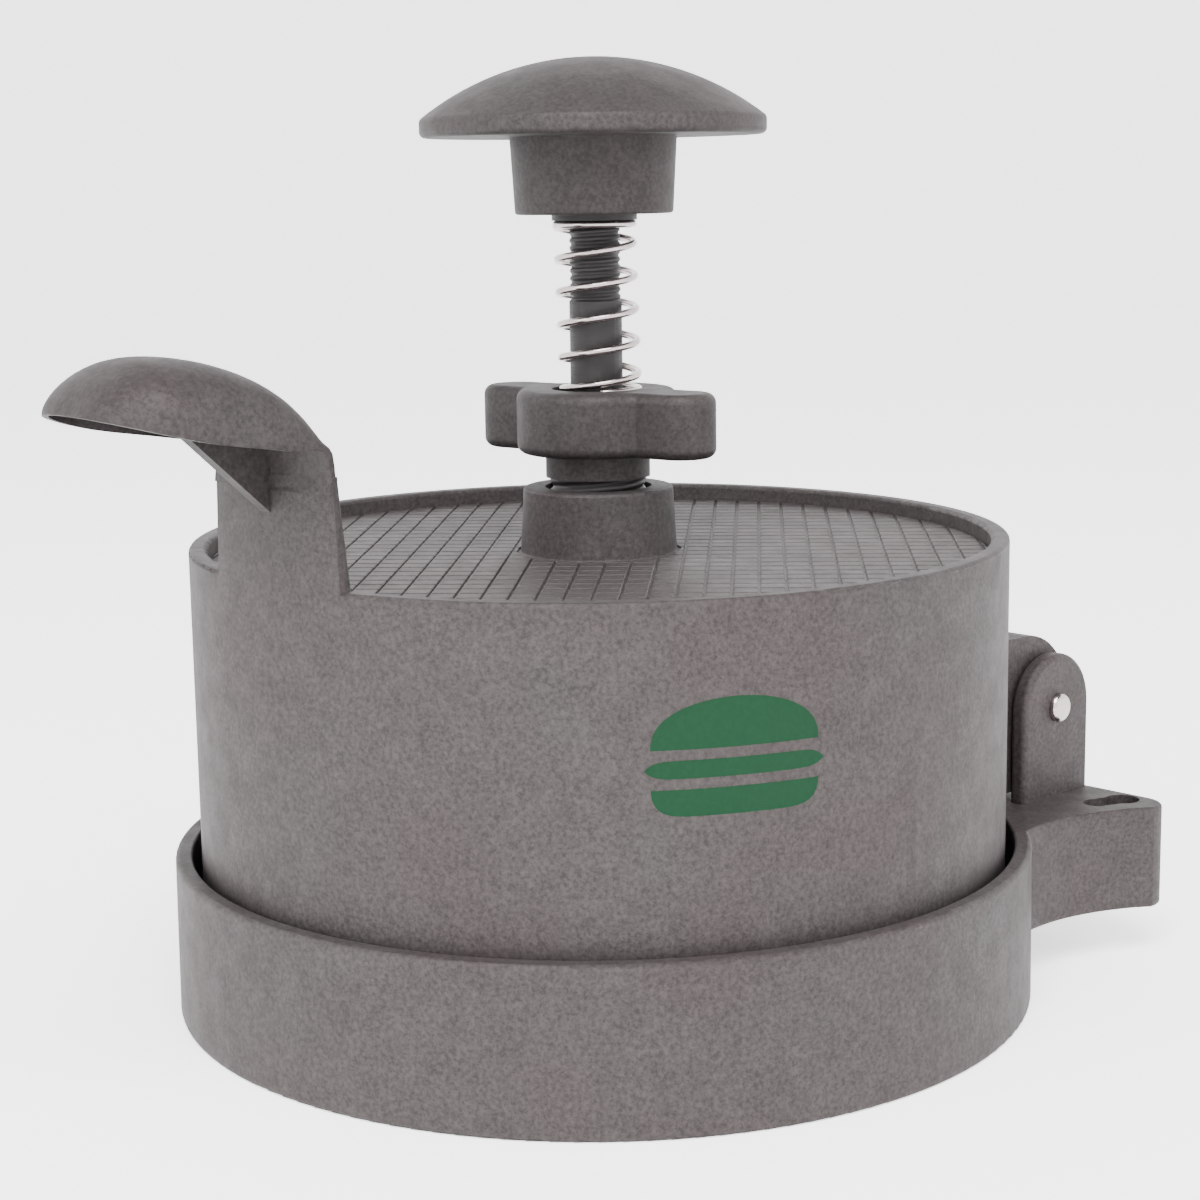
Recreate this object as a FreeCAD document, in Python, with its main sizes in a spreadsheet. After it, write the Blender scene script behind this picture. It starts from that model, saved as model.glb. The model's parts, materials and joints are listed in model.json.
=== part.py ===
import FreeCAD, Part

import math
import os

import Sketcher

# Adjustable single patty press: a dished base with a wide rear hinge bracket,
# a cylindrical lid with a spoon-shaped lift handle, and a sprung plunger whose
# rest height is set by a wing knob on a threaded sleeve.
#
# Frame, in millimetres: origin on the press axis at the bench surface, +Z up,
# the lift handle towards -Y and the hinge towards +Y.

Vector = FreeCAD.Vector
doc = FreeCAD.newDocument("PattyPress")

# ---------------------------------------------------------------- dimensions

DIMENSIONS = [
    # base tray
    ("tray_foot_radius", 65.1),
    ("tray_rim_radius", 64.9),
    ("tray_height", 23.8),
    ("tray_bore_top", 62.4),
    ("tray_bore_floor", 62.2),
    ("tray_floor_top", 15.0),
    ("tray_floor_thickness", 4.0),
    ("tray_skirt_inner", 61.7),
    ("tray_rim_round", 0.7),
    ("tray_rim_inner_round", 0.4),
    ("tray_foot_round", 0.6),
    # rear bracket and hinge
    ("bracket_underside", 7.5),
    ("bracket_back", 73.0),
    ("bracket_front", 42.0),
    ("bracket_inner_radius", 63.7),
    ("bracket_root_x", 48.2),
    ("bracket_horn_x", 54.3),
    ("bracket_horn_y", 68.0),
    ("bracket_flat_x", 50.2),
    ("bracket_hollow_radius", 33.2),
    ("bracket_corner_radius", 4.3),
    ("bracket_round", 0.6),
    ("slot_front_x", 45.9),
    ("slot_front_y", 64.4),
    ("slot_front_radius", 2.1),
    ("slot_back_x", 47.6),
    ("slot_back_y", 69.0),
    ("slot_back_radius", 2.7),
    ("hinge_y", 63.8),
    ("hinge_z", 38.3),
    ("ear_radius", 8.6),
    ("ear_outer_x", 38.6),
    ("ear_thickness", 3.0),
    ("ear_edge", 1.0),
    ("ear_gap", 0.35),
    ("ear_foot", 2.0),
    ("knuckle_width", 12.6),
    ("knuckle_y", 59.4),
    ("knuckle_z", 38.5),
    ("knuckle_radius", 11.5),
    ("knuckle_foot_y", 61.0),
    ("knuckle_foot_z", 25.2),
    ("knuckle_foot_height", 4.0),
    ("knuckle_root", 12.0),
    ("pin_radius", 2.35),
    ("pin_proud", 1.2),
    ("pin_dome", 0.9),
    ("running_gap", 0.06),
    # lid
    ("lid_radius", 61.0),
    ("lid_bottom", 15.0),
    ("lid_top", 69.9),
    ("lid_rim_bore", 58.3),
    ("lid_bore", 57.9),
    ("lid_plate_top", 67.1),
    ("lid_plate_thickness", 3.6),
    ("lid_foot_chamfer", 1.0),
    ("lid_rim_round", 0.6),
    ("boss_top_z", 77.1),
    ("boss_top_radius", 11.2),
    ("boss_foot_radius", 11.8),
    ("boss_round", 0.5),
    ("counterbore_radius", 8.0),
    ("counterbore_depth", 2.6),
    # lift handle
    ("strap_half_width", 13.7),
    ("strap_thickness", 2.4),
    ("strap_edge_low", 0.8),
    ("strap_edge_high", 2.2),
    ("strap_taper", 0.8),
    ("strap_top_z", 84.8),
    ("bend_centre_y", 79.5),
    ("bend_centre_z", 84.7),
    ("bend_reach", 20.9),
    ("spoon_rise", 16.5),
    ("nose_reach", 13.85),
    ("nose_length", 11.7),
    ("spoon_wall", 1.7),
    ("spoon_rim_y", 61.3),
    ("spoon_rim_z", 88.1),
    ("spoon_rim_slope", 0.10),
    ("spoon_rim_curve", 0.004),
    ("spoon_roundness", 2.32),
    ("spoon_bend_squareness", 0.85),
    ("spoon_shoulder_squareness", 6.8),
    ("spoon_corner_lift", 1.38),
    ("rib_thickness", 2.2),
    ("rib_foot_z", 79.5),
    # adjuster
    ("sleeve_radius", 7.2),
    ("sleeve_bore", 4.2),
    ("sleeve_bottom", 36.1),
    ("sleeve_top", 88.6),
    ("stop_ring_radius", 8.7),
    ("stop_ring_z", 36.7),
    ("stop_ring_height", 1.1),
    ("stop_groove_radius", 6.4),
    ("stop_ring_gap", 3.0),
    ("sleeve_end_relief", 0.4),
    ("knob_bottom", 82.2),
    ("knob_height", 9.5),
    ("knob_radius", 12.0),
    ("knob_wing_half_width", 5.0),
    ("knob_wing_centre", 16.0),
    ("knob_edge", 1.5),
    ("knob_root", 1.2),
    ("knob_angle", 6.3),
    ("collar_radius", 7.8),
    ("collar_height", 3.6),
    ("spring_seat_radius", 6.7),
    ("spring_seat_depth", 1.6),
    # spring and its washers
    ("washer_thickness", 0.8),
    ("washer_radius", 6.3),
    ("washer_bore", 4.1),
    ("cap_washer_radius", 6.3),
    ("cap_washer_thickness", 0.9),
    ("cap_washer_bore", 3.6),
    ("spring_mean_radius", 5.6),
    ("spring_wire_radius", 0.55),
    ("spring_turns", 6.0),
    # plunger
    ("rod_radius", 3.9),
    ("rod_thread_radius", 3.5),
    ("rod_thread_z", 104.6),
    ("rod_top_z", 132.0),
    ("rod_spigot_radius", 3.0),
    ("palm_hub_z", 117.3),
    ("palm_hub_foot_radius", 11.65),
    ("palm_hub_top_radius", 12.3),
    ("palm_rim_z", 128.5),
    ("palm_band_z", 131.1),
    ("palm_radius", 25.4),
    ("palm_rim_round", 0.9),
    ("palm_hub_round", 0.5),
    ("palm_apex_z", 139.9),
    ("plate_radius", 57.1),
    ("plate_bottom", 27.7),
    ("plate_thickness", 3.2),
    ("plate_rim_width", 3.0),
    ("plate_rim_height", 3.0),
    ("plate_hub_radius", 9.0),
    ("plate_hub_top", 36.0),
    ("plate_rib_width", 2.4),
    ("plate_rib_height", 3.0),
    ("screw_radius", 1.75),
    ("screw_head_radius", 3.6),
    ("screw_head_height", 1.9),
    ("screw_length", 11.0),
    ("screw_drive_radius", 1.5),
    ("screw_drive_depth", 1.15),
    ("screw_clearance", 0.15),
]

sheet = doc.addObject("Spreadsheet::Sheet", "dims")
for row, (alias, value) in enumerate(DIMENSIONS, start=1):
    sheet.set("A%d" % row, alias)
    sheet.set("B%d" % row, str(value))
    sheet.setAlias("B%d" % row, alias)
doc.recompute()
SIZE = dict(DIMENSIONS)


def evaluate(expression):
    """Value of a sheet expression such as 'dims.lid_top - 2'."""
    result = sheet.evalExpression(expression)
    return float(getattr(result, "Value", result))


# ------------------------------------------------------------------- helpers

def bind(obj, **expressions):
    """Bind properties to sheet expressions; a double underscore is a dot."""
    for name, expression in expressions.items():
        obj.setExpression(name.replace("__", "."), str(expression))
    return obj


def add(kind, name):
    obj = doc.addObject(kind, name)
    obj.Label = name
    return obj


def cylinder(name, radius, height, z="0", x="0", y="0", along_x=False):
    obj = add("Part::Cylinder", name)
    if along_x:
        obj.Placement = FreeCAD.Placement(Vector(), FreeCAD.Rotation(Vector(0, 1, 0), 90))
    return bind(obj, Radius=radius, Height=height, Placement__Base__x=x,
                Placement__Base__y=y, Placement__Base__z=z)


def cone(name, lower_radius, upper_radius, height, z):
    obj = add("Part::Cone", name)
    return bind(obj, Radius1=lower_radius, Radius2=upper_radius, Height=height,
                Placement__Base__z=z)


def box(name, x, y, z, length, width, height):
    obj = add("Part::Box", name)
    return bind(obj, Length=length, Width=width, Height=height, Placement__Base__x=x,
                Placement__Base__y=y, Placement__Base__z=z)


def fuse(name, shapes):
    obj = add("Part::MultiFuse", name)
    obj.Shapes = shapes
    obj.Refine = True
    return obj


def cut(name, base, tool):
    obj = add("Part::Cut", name)
    obj.Base = base
    obj.Tool = tool
    obj.Refine = True
    return obj


def common(name, shapes):
    obj = add("Part::MultiCommon", name)
    obj.Shapes = shapes
    return obj


def round_edges(name, base, radius, chosen):
    """Fillet the edges of base that the test function picks."""
    doc.recompute()
    obj = add("Part::Fillet", name)
    obj.Base = base
    picked = [i for i, edge in enumerate(base.Shape.Edges, start=1) if chosen(edge)]
    if not picked:
        raise ValueError(name + " picks no edge")
    obj.Edges = [(i, radius, radius) for i in picked]
    doc.recompute()
    return obj


def turned_copy(name, source, degrees):
    """The source shape turned about Z."""
    holder = add("Part::Compound", name)
    holder.Links = [source]
    holder.Placement = FreeCAD.Placement(Vector(), FreeCAD.Rotation(degrees, 0, 0))
    return holder


def origin_plane(body, role):
    return [f for f in body.Origin.OriginFeatures if f.Role == role][0]


def arc_between(start, end, radius):
    """Arc of under half a turn, bulging right of its path, or left if radius is negative."""
    chord = end - start
    sagitta_side = 1 if radius > 0 else -1
    normal = Vector(-chord.y, chord.x, 0).normalize() * sagitta_side
    centre = (start + end) / 2 + normal * math.sqrt(radius ** 2 - chord.Length ** 2 / 4)
    first, last = (math.atan2(p.y - centre.y, p.x - centre.x) for p in (start, end))
    if radius < 0:
        first, last = last, first
    if last < first:
        last += 2 * math.pi
    return Part.ArcOfCircle(Part.Circle(centre, Vector(0, 0, 1), abs(radius)), first, last)


def outline(body, name, role, corners, arcs=None):
    """Closed sketch through corners given as pairs of expressions.

    Its sides are straight, apart from those in arcs, which maps a side's number to its
    radius. Corners with arcs run anticlockwise, and a minus sign makes the side a hollow.
    """
    arcs = arcs or {}
    sketch = body.newObject("Sketcher::SketchObject", name)
    sketch.AttachmentSupport = [(origin_plane(body, role), "")]
    sketch.MapMode = "FlatFace"
    places = [Vector(evaluate(u), evaluate(v), 0) for u, v in corners]
    count = len(places)
    ends = []
    for i in range(count):
        start, end = places[i], places[(i + 1) % count]
        radius = evaluate(arcs[i]) if i in arcs else 0
        ends.append((2, 1) if radius < 0 else (1, 2))
        sketch.addGeometry(arc_between(start, end, radius) if radius
                           else Part.LineSegment(start, end))
    for i in range(count):
        following = (i + 1) % count
        sketch.addConstraint(Sketcher.Constraint("Coincident", i, ends[i][1],
                                                 following, ends[following][0]))
    for i, pair in enumerate(corners):
        vertex = ends[i][0]
        for axis, expression, value in zip("XY", pair, places[i]):
            if value == 0:
                line = {"X": -2, "Y": -1}[axis]
                sketch.addConstraint(Sketcher.Constraint("PointOnObject", i, vertex, line))
                continue
            rule = Sketcher.Constraint("Distance" + axis, -1, 1, i, vertex, value)
            sketch.setExpression("Constraints[%d]" % sketch.addConstraint(rule), expression)
    for i, expression in arcs.items():
        rule = Sketcher.Constraint("Radius", i, abs(evaluate(expression)))
        sketch.setExpression("Constraints[%d]" % sketch.addConstraint(rule),
                             "abs(%s)" % expression)
    return sketch


def turned_body(name, corners):
    """PartDesign body turned about Z from (radius, height) corners."""
    body = add("PartDesign::Body", name)
    sketch = outline(body, name + "_profile", "XZ_Plane", corners)
    turn = body.newObject("PartDesign::Revolution", name + "_turn")
    turn.Profile = sketch
    turn.ReferenceAxis = (sketch, ["V_Axis"])
    turn.Angle = 360
    doc.recompute()
    return body


def soften(body, name, radius, chosen):
    """PartDesign Fillet on the edges that the test function picks."""
    tip = body.Tip
    picked = ["Edge%d" % i for i, edge in enumerate(tip.Shape.Edges, start=1) if chosen(edge)]
    if not picked:
        raise ValueError(name + " picks no edge")
    fillet = body.newObject("PartDesign::Fillet", name)
    fillet.Base = (tip, picked)
    fillet.setExpression("Radius", radius)
    doc.recompute()


def is_circle(edge, radius=None, z=None, slack=0.02):
    """True for a circular edge about Z of this radius at this height."""
    if edge.Degenerated or not isinstance(edge.Curve, Part.Circle):
        return False
    curve = edge.Curve
    if math.hypot(curve.Center.x, curve.Center.y) > slack:
        return False
    if radius is not None and abs(curve.Radius - radius) > slack:
        return False
    return z is None or abs(curve.Center.z - z) < slack


# ----------------------------------------------------------------- base tray

def make_base_tray():
    """Cast dish with a raised floor, a rear bracket and two hinge ears."""
    dish = turned_body("tray_dish", [
        ("0", "dims.tray_floor_top - dims.tray_floor_thickness"),
        ("dims.tray_skirt_inner", "dims.tray_floor_top - dims.tray_floor_thickness"),
        ("dims.tray_skirt_inner", "0"),
        ("dims.tray_foot_radius", "0"),
        ("dims.tray_rim_radius", "dims.tray_height"),
        ("dims.tray_bore_top", "dims.tray_height"),
        ("dims.tray_bore_floor", "dims.tray_floor_top"),
        ("0", "dims.tray_floor_top"),
    ])
    rim = SIZE["tray_height"]
    soften(dish, "tray_rim_fillet", "dims.tray_rim_round",
           lambda e: is_circle(e, SIZE["tray_rim_radius"], rim))
    soften(dish, "tray_rim_inner_fillet", "dims.tray_rim_inner_round",
           lambda e: is_circle(e, SIZE["tray_bore_top"], rim))
    soften(dish, "tray_foot_fillet", "dims.tray_foot_round",
           lambda e: is_circle(e, SIZE["tray_foot_radius"], 0))

    bracket = bracket_block()
    inside = cylinder("bracket_clearance", "dims.bracket_inner_radius", "2 * dims.tray_height")
    bracket_outer = cut("bracket_outside_dish", bracket, inside)
    slots = [keyhole("slot_right", 1), keyhole("slot_left", -1)]
    bracket_drilled = cut("bracket_drilled", bracket_outer, fuse("slots", slots))

    ears = [hinge_ear("ear_right", 1), hinge_ear("ear_left", -1)]
    casting = fuse("tray_casting", [dish, bracket_drilled] + ears)
    bore = cylinder("pin_hole", "dims.pin_radius", "2 * dims.ear_outer_x",
                    "dims.hinge_z", "-dims.ear_outer_x", "dims.hinge_y", along_x=True)
    return cut("base_tray", casting, bore)


def bracket_block():
    """Wide rear bracket: hollow-cheeked sides that end in round back corners."""
    body = add("PartDesign::Body", "bracket_body")
    front, back = "dims.bracket_front", "dims.bracket_back"
    plan = outline(body, "bracket_plan", "XY_Plane", [
        ("-dims.bracket_root_x", front),
        ("dims.bracket_root_x", front),
        ("dims.bracket_horn_x", "dims.bracket_horn_y"),
        ("dims.bracket_flat_x", back),
        ("-dims.bracket_flat_x", back),
        ("-dims.bracket_horn_x", "dims.bracket_horn_y"),
    ], arcs={1: "-dims.bracket_hollow_radius", 2: "dims.bracket_corner_radius",
             4: "dims.bracket_corner_radius", 5: "-dims.bracket_hollow_radius"})
    pad = body.newObject("PartDesign::Pad", "bracket_pad")
    pad.Profile = plan
    pad.setExpression("Length", "dims.tray_height - dims.bracket_underside")
    doc.recompute()
    levels = ({0.0}, {round(pad.Length.Value, 3)})

    def is_outer_rim(edge):
        flat = {round(vertex.Z, 3) for vertex in edge.Vertexes} in levels
        return flat and edge.CenterOfMass.y > SIZE["bracket_front"] + 0.01

    soften(body, "bracket_soft", "dims.bracket_round", is_outer_rim)
    body.setExpression("Placement.Base.z", "dims.bracket_underside")
    doc.recompute()
    return body


def keyhole(name, side):
    """Fixing slot through the bracket, wider and further out at its back end."""
    height = "dims.tray_height"
    front = cylinder(name + "_front", "dims.slot_front_radius", height, "0",
                     "%d * dims.slot_front_x" % side, "dims.slot_front_y")
    back = cylinder(name + "_back", "dims.slot_back_radius", height, "0",
                    "%d * dims.slot_back_x" % side, "dims.slot_back_y")
    across = SIZE["slot_back_x"] - SIZE["slot_front_x"]
    along = SIZE["slot_back_y"] - SIZE["slot_front_y"]
    waist = add("Part::Box", name + "_waist")
    turn = FreeCAD.Rotation(Vector(0, 0, 1), -side * math.degrees(math.atan2(across, along)))
    corner = turn.multVec(Vector(-SIZE["slot_front_radius"], 0, 0))
    start = Vector(side * SIZE["slot_front_x"], SIZE["slot_front_y"], 0)
    waist.Placement = FreeCAD.Placement(start + corner, turn)
    bind(waist, Length="2 * dims.slot_front_radius", Height=height,
         Width="sqrt((dims.slot_back_x - dims.slot_front_x)^2"
               " + (dims.slot_back_y - dims.slot_front_y)^2)")
    return fuse(name, [front, back, waist])


def hinge_ear(name, side):
    """Upright ear with a round top about the pin."""
    start = "dims.ear_outer_x - dims.ear_thickness" if side > 0 else "-dims.ear_outer_x"
    disc = cylinder(name + "_top", "dims.ear_radius", "dims.ear_thickness", "dims.hinge_z",
                    start, "dims.hinge_y", along_x=True)
    post = box(name + "_post", start, "dims.hinge_y - dims.ear_radius",
               "dims.bracket_underside + dims.ear_foot", "dims.ear_thickness",
               "2 * dims.ear_radius", "dims.hinge_z - dims.bracket_underside - dims.ear_foot")
    ear = fuse(name + "_blank", [disc, post])
    faces = (SIZE["ear_outer_x"], SIZE["ear_outer_x"] - SIZE["ear_thickness"])

    def is_rim(edge):
        on_face = any(all(abs(abs(v.X) - face) < 0.01 for v in edge.Vertexes)
                      for face in faces)
        return on_face and edge.CenterOfMass.z > SIZE["tray_height"]

    return round_edges(name, ear, SIZE["ear_edge"], is_rim)


def make_hinge_pin():
    """Long headless pin with domed ends, pressed into both ears."""
    length = "2 * (dims.ear_outer_x + dims.pin_proud)"
    rod = cylinder("pin_blank", "dims.pin_radius", length, "dims.hinge_z",
                   "-dims.ear_outer_x - dims.pin_proud", "dims.hinge_y", along_x=True)
    ends = SIZE["ear_outer_x"] + SIZE["pin_proud"]
    return round_edges("hinge_pin", rod, SIZE["pin_dome"],
                       lambda e: abs(abs(e.CenterOfMass.x) - ends) < 0.01)


# ----------------------------------------------------------------------- lid

def make_lid_housing():
    """Cylinder, top plate, boss, hinge knuckles and lift handle in one casting."""
    can = turned_body("lid_can", [
        ("dims.counterbore_radius", "dims.boss_top_z"),
        ("dims.counterbore_radius", "dims.boss_top_z - dims.counterbore_depth"),
        ("dims.sleeve_radius + dims.running_gap",
         "dims.boss_top_z - dims.counterbore_depth"),
        ("dims.sleeve_radius + dims.running_gap",
         "dims.lid_plate_top - dims.lid_plate_thickness"),
        ("dims.lid_bore", "dims.lid_plate_top - dims.lid_plate_thickness"),
        ("dims.lid_bore", "dims.lid_bottom"),
        ("dims.lid_radius - dims.lid_foot_chamfer", "dims.lid_bottom"),
        ("dims.lid_radius", "dims.lid_bottom + dims.lid_foot_chamfer"),
        ("dims.lid_radius", "dims.lid_top"),
        ("dims.lid_rim_bore", "dims.lid_top"),
        ("dims.lid_rim_bore", "dims.lid_plate_top"),
        ("dims.boss_foot_radius", "dims.lid_plate_top"),
        ("dims.boss_top_radius", "dims.boss_top_z"),
    ])
    soften(can, "lid_rim_fillet", "dims.lid_rim_round",
           lambda e: is_circle(e, SIZE["lid_radius"], SIZE["lid_top"])
           or is_circle(e, SIZE["lid_rim_bore"], SIZE["lid_top"]))
    soften(can, "boss_fillet", "dims.boss_round",
           lambda e: is_circle(e, SIZE["boss_top_radius"], SIZE["boss_top_z"]))
    soften(can, "boss_root_fillet", "dims.boss_round",
           lambda e: is_circle(e, SIZE["boss_foot_radius"], SIZE["lid_plate_top"]))
    knuckles = [knuckle("knuckle_right", 1), knuckle("knuckle_left", -1)]
    handle = [handle_strap(), handle_spoon(), handle_rib()]
    housing = fuse("lid_housing", [can] + handle + knuckles)
    doc.recompute()
    if housing.Shape.Volume < can.Shape.Volume:
        raise RuntimeError("lid_housing lost its cylinder when it was fused")
    return housing


def knuckle(name, side):
    """Hinge arm from the lid's wall to the pin, with its own bore."""
    outer = "dims.ear_outer_x - dims.ear_thickness - dims.ear_gap"
    start = outer + " - dims.knuckle_width" if side > 0 else "-(" + outer + ")"
    barrel = cylinder(name + "_barrel", "dims.knuckle_radius", "dims.knuckle_width",
                      "dims.knuckle_z", start, "dims.knuckle_y", along_x=True)
    root = "dims.knuckle_y - dims.knuckle_root"
    block = box(name + "_block", start, root, "dims.knuckle_foot_z", "dims.knuckle_width",
                "dims.knuckle_root", "dims.knuckle_z + dims.knuckle_radius - dims.knuckle_foot_z")
    foot = box(name + "_foot", start, root, "dims.knuckle_foot_z", "dims.knuckle_width",
               "dims.knuckle_foot_y - (" + root + ")", "dims.knuckle_foot_height")
    arm = fuse(name + "_solid", [barrel, block, foot])
    void = cylinder(name + "_void", "dims.lid_radius - 1", "dims.lid_top")
    bore = cylinder(name + "_bore", "dims.pin_radius + dims.running_gap",
                    "dims.knuckle_width", "dims.hinge_z", start, "dims.hinge_y", along_x=True)
    return cut(name, arm, fuse(name + "_tools", [void, bore]))


def handle_strap():
    """Part of the cylinder's wall that carries on upwards to the spoon."""
    low, rise = "dims.lid_plate_top", "dims.strap_top_z - dims.lid_plate_top"
    outside = cylinder("strap_outside", "dims.lid_radius", rise, low)
    inside = cylinder("strap_inside", "dims.lid_radius - dims.strap_thickness",
                      "dims.lid_top", low + " - 1")
    width = add("Part::Wedge", "strap_width")
    width.Placement = FreeCAD.Placement(Vector(), FreeCAD.Rotation(Vector(1, 0, 0), 90))
    bind(width, Placement__Base__z=low, Xmin="-dims.strap_half_width",
         Xmax="dims.strap_half_width", X2min="-dims.strap_half_width + dims.strap_taper",
         X2max="dims.strap_half_width - dims.strap_taper", Ymin="0", Ymax=rise, Zmin="0",
         Zmax="dims.lid_radius + 5", Z2min="0", Z2max="dims.lid_radius + 5")
    strap = common("strap_square", [cut("strap_tube", outside, inside), width])
    doc.recompute()
    rounded = add("Part::Fillet", "handle_strap")
    rounded.Base = strap
    chosen = []
    sizes = (SIZE["strap_edge_low"], SIZE["strap_edge_high"])
    for i, edge in enumerate(strap.Shape.Edges, start=1):
        start, end = (edge.valueAt(t) for t in (edge.FirstParameter, edge.LastParameter))
        on_inner_side = math.hypot(start.x, start.y) < SIZE["lid_radius"] - 1
        if on_inner_side and abs(end.z - start.z) > 5:
            chosen.append((i,) + (sizes if end.z > start.z else sizes[::-1]))
    rounded.Edges = chosen
    doc.recompute()
    return rounded


def rim_height(y):
    """Height of the spoon's lower rim at this Y."""
    outward = -SIZE["spoon_rim_y"] - y
    return (SIZE["spoon_rim_z"] + SIZE["spoon_rim_slope"] * outward
            + SIZE["spoon_rim_curve"] * outward ** 2)


def crown_height(y):
    """Height of the spoon's crown in the mid-plane at this Y."""
    from_centre = y + SIZE["bend_centre_y"]
    reach = SIZE["bend_reach"] if from_centre > 0 else SIZE["nose_reach"]
    return SIZE["bend_centre_z"] + SIZE["spoon_rise"] * math.sqrt(1 - (from_centre / reach) ** 2)


def bend_section(turn):
    """Section of the bend in a plane through its centre, as crown, inward, depth, width."""
    centre = Vector(0, -SIZE["bend_centre_y"], SIZE["bend_centre_z"])
    crown = centre + Vector(0, SIZE["bend_reach"] * math.cos(turn),
                            SIZE["spoon_rise"] * math.sin(turn))
    inward = (centre - crown).normalize()
    depth = SIZE["strap_thickness"]
    point = crown + inward * depth
    while point.z > rim_height(point.y):
        depth += 0.01
        point = crown + inward * depth
    share = max(0.0, turn) / (math.pi / 2)
    taper = SIZE["strap_taper"] * max(0.0, 1 - 2 * share) ** 1.5
    return crown, inward, depth, SIZE["strap_half_width"] - taper, share


def nose_section(turn):
    """Upright section of the nose, whose plan is half an ellipse."""
    y = -SIZE["bend_centre_y"] - SIZE["nose_length"] * math.sin(turn)
    crown = Vector(0, y, crown_height(y))
    depth = crown.z - rim_height(y)
    return crown, Vector(0, 0, -1), depth, SIZE["strap_half_width"] * math.cos(turn), 1.0


def arch(half_width, rise, exponent, count):
    """Evenly spaced (x, height) points along half a superellipse."""
    steps = 240
    dense = []
    for i in range(steps + 1):
        angle = math.pi * i / steps
        along, up = -math.cos(angle), math.sin(angle)
        size = ((abs(along) / half_width) ** exponent + (up / rise) ** exponent)
        scale = size ** (-1 / exponent)
        dense.append((scale * along, scale * up))
    travel = [0.0]
    for first, second in zip(dense, dense[1:]):
        travel.append(travel[-1] + math.dist(first, second))
    points = []
    for k in range(count):
        target = travel[-1] * k / (count - 1)
        i = max(j for j in range(steps) if travel[j] <= target)
        part = min(1.0, (target - travel[i]) / (travel[i + 1] - travel[i]))
        points.append(tuple(a + (b - a) * part for a, b in zip(dense[i], dense[i + 1])))
    return points


def spoon_skin(sections, inset, wall_root, wall_tip):
    """Smooth surface through the sections, this far inside the outer skin."""
    grid = []
    for crown, inward, depth, half_width, share in sections:
        wall = wall_root + (wall_tip - wall_root) * min(1.0, 2 * share)
        side_wall = min(wall_tip, 0.8 * half_width) + inset
        rise = max(0.05, depth - wall - inset)
        exponent = (SIZE["spoon_roundness"] + SIZE["spoon_bend_squareness"] * (1 - share)
                    + SIZE["spoon_shoulder_squareness"] * share * (1 - share) ** 2)
        lift = SIZE["spoon_corner_lift"] * (1 - share) ** 2
        row = []
        for x, height in arch(half_width - side_wall, rise, exponent, 21):
            out = height - depth + lift * (x / SIZE["strap_half_width"]) ** 2
            row.append(crown - inward * out + Vector(x, 0, 0))
        grid.append(row)
    surface = Part.BSplineSurface()
    surface.interpolate(grid)
    return surface.toShape()


def handle_spoon():
    """Hollow hood of even wall: square at the bend, rounded towards the nose."""
    bend_turns = (-8, -2, 4, 9, 14, 20, 27, 35, 44, 54, 66, 78, 90)
    nose_turns = [86.4 * i / 9 for i in range(1, 10)]
    sections = [bend_section(math.radians(turn)) for turn in bend_turns]
    sections += [nose_section(math.radians(turn)) for turn in nose_turns]
    inset = 0.08  # keeps the hood's back face clear of the strap's, so that they fuse
    outer = spoon_skin(sections, inset, 0.0, 0.0)
    inner = spoon_skin(sections, 0.0, SIZE["strap_thickness"] - inset, SIZE["spoon_wall"])
    faces = [outer, inner]
    for edge in outer.Edges:
        middle = edge.valueAt((edge.FirstParameter + edge.LastParameter) / 2)
        partner = min(inner.Edges, key=lambda other: other.valueAt(
            (other.FirstParameter + other.LastParameter) / 2).distanceToPoint(middle))
        faces.append(Part.makeRuledSurface(edge, partner))
    shell = Part.makeShell(faces)
    shell.sewShape()
    solid = Part.makeSolid(shell)
    if solid.Volume < 0:
        solid.reverse()
    obj = add("Part::Feature", "handle_spoon")
    obj.Shape = solid
    return obj


def handle_rib():
    """Triangular gusset between the strap and the spoon, in the mid-plane."""
    middle = SIZE["lid_radius"] - SIZE["strap_thickness"] / 2
    corners = [Vector(0, -middle, SIZE["rib_foot_z"] - 1.0)]
    inset = SIZE["spoon_wall"] * 0.5
    for y in (-83.7, -81.0, -77.0, -73.0, -69.0, -65.5, -62.5):
        corners.append(Vector(0, y, crown_height(y) - inset))
    corners.append(Vector(0, -middle, SIZE["bend_centre_z"]))
    face = Part.Face(Part.makePolygon(corners + corners[:1]))
    obj = add("Part::Feature", "handle_rib")
    obj.Shape = face.extrude(Vector(SIZE["rib_thickness"], 0, 0))
    obj.Placement = FreeCAD.Placement(Vector(-SIZE["rib_thickness"] / 2, 0, 0),
                                      FreeCAD.Rotation())
    return obj


# ------------------------------------------------------------------ adjuster

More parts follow.
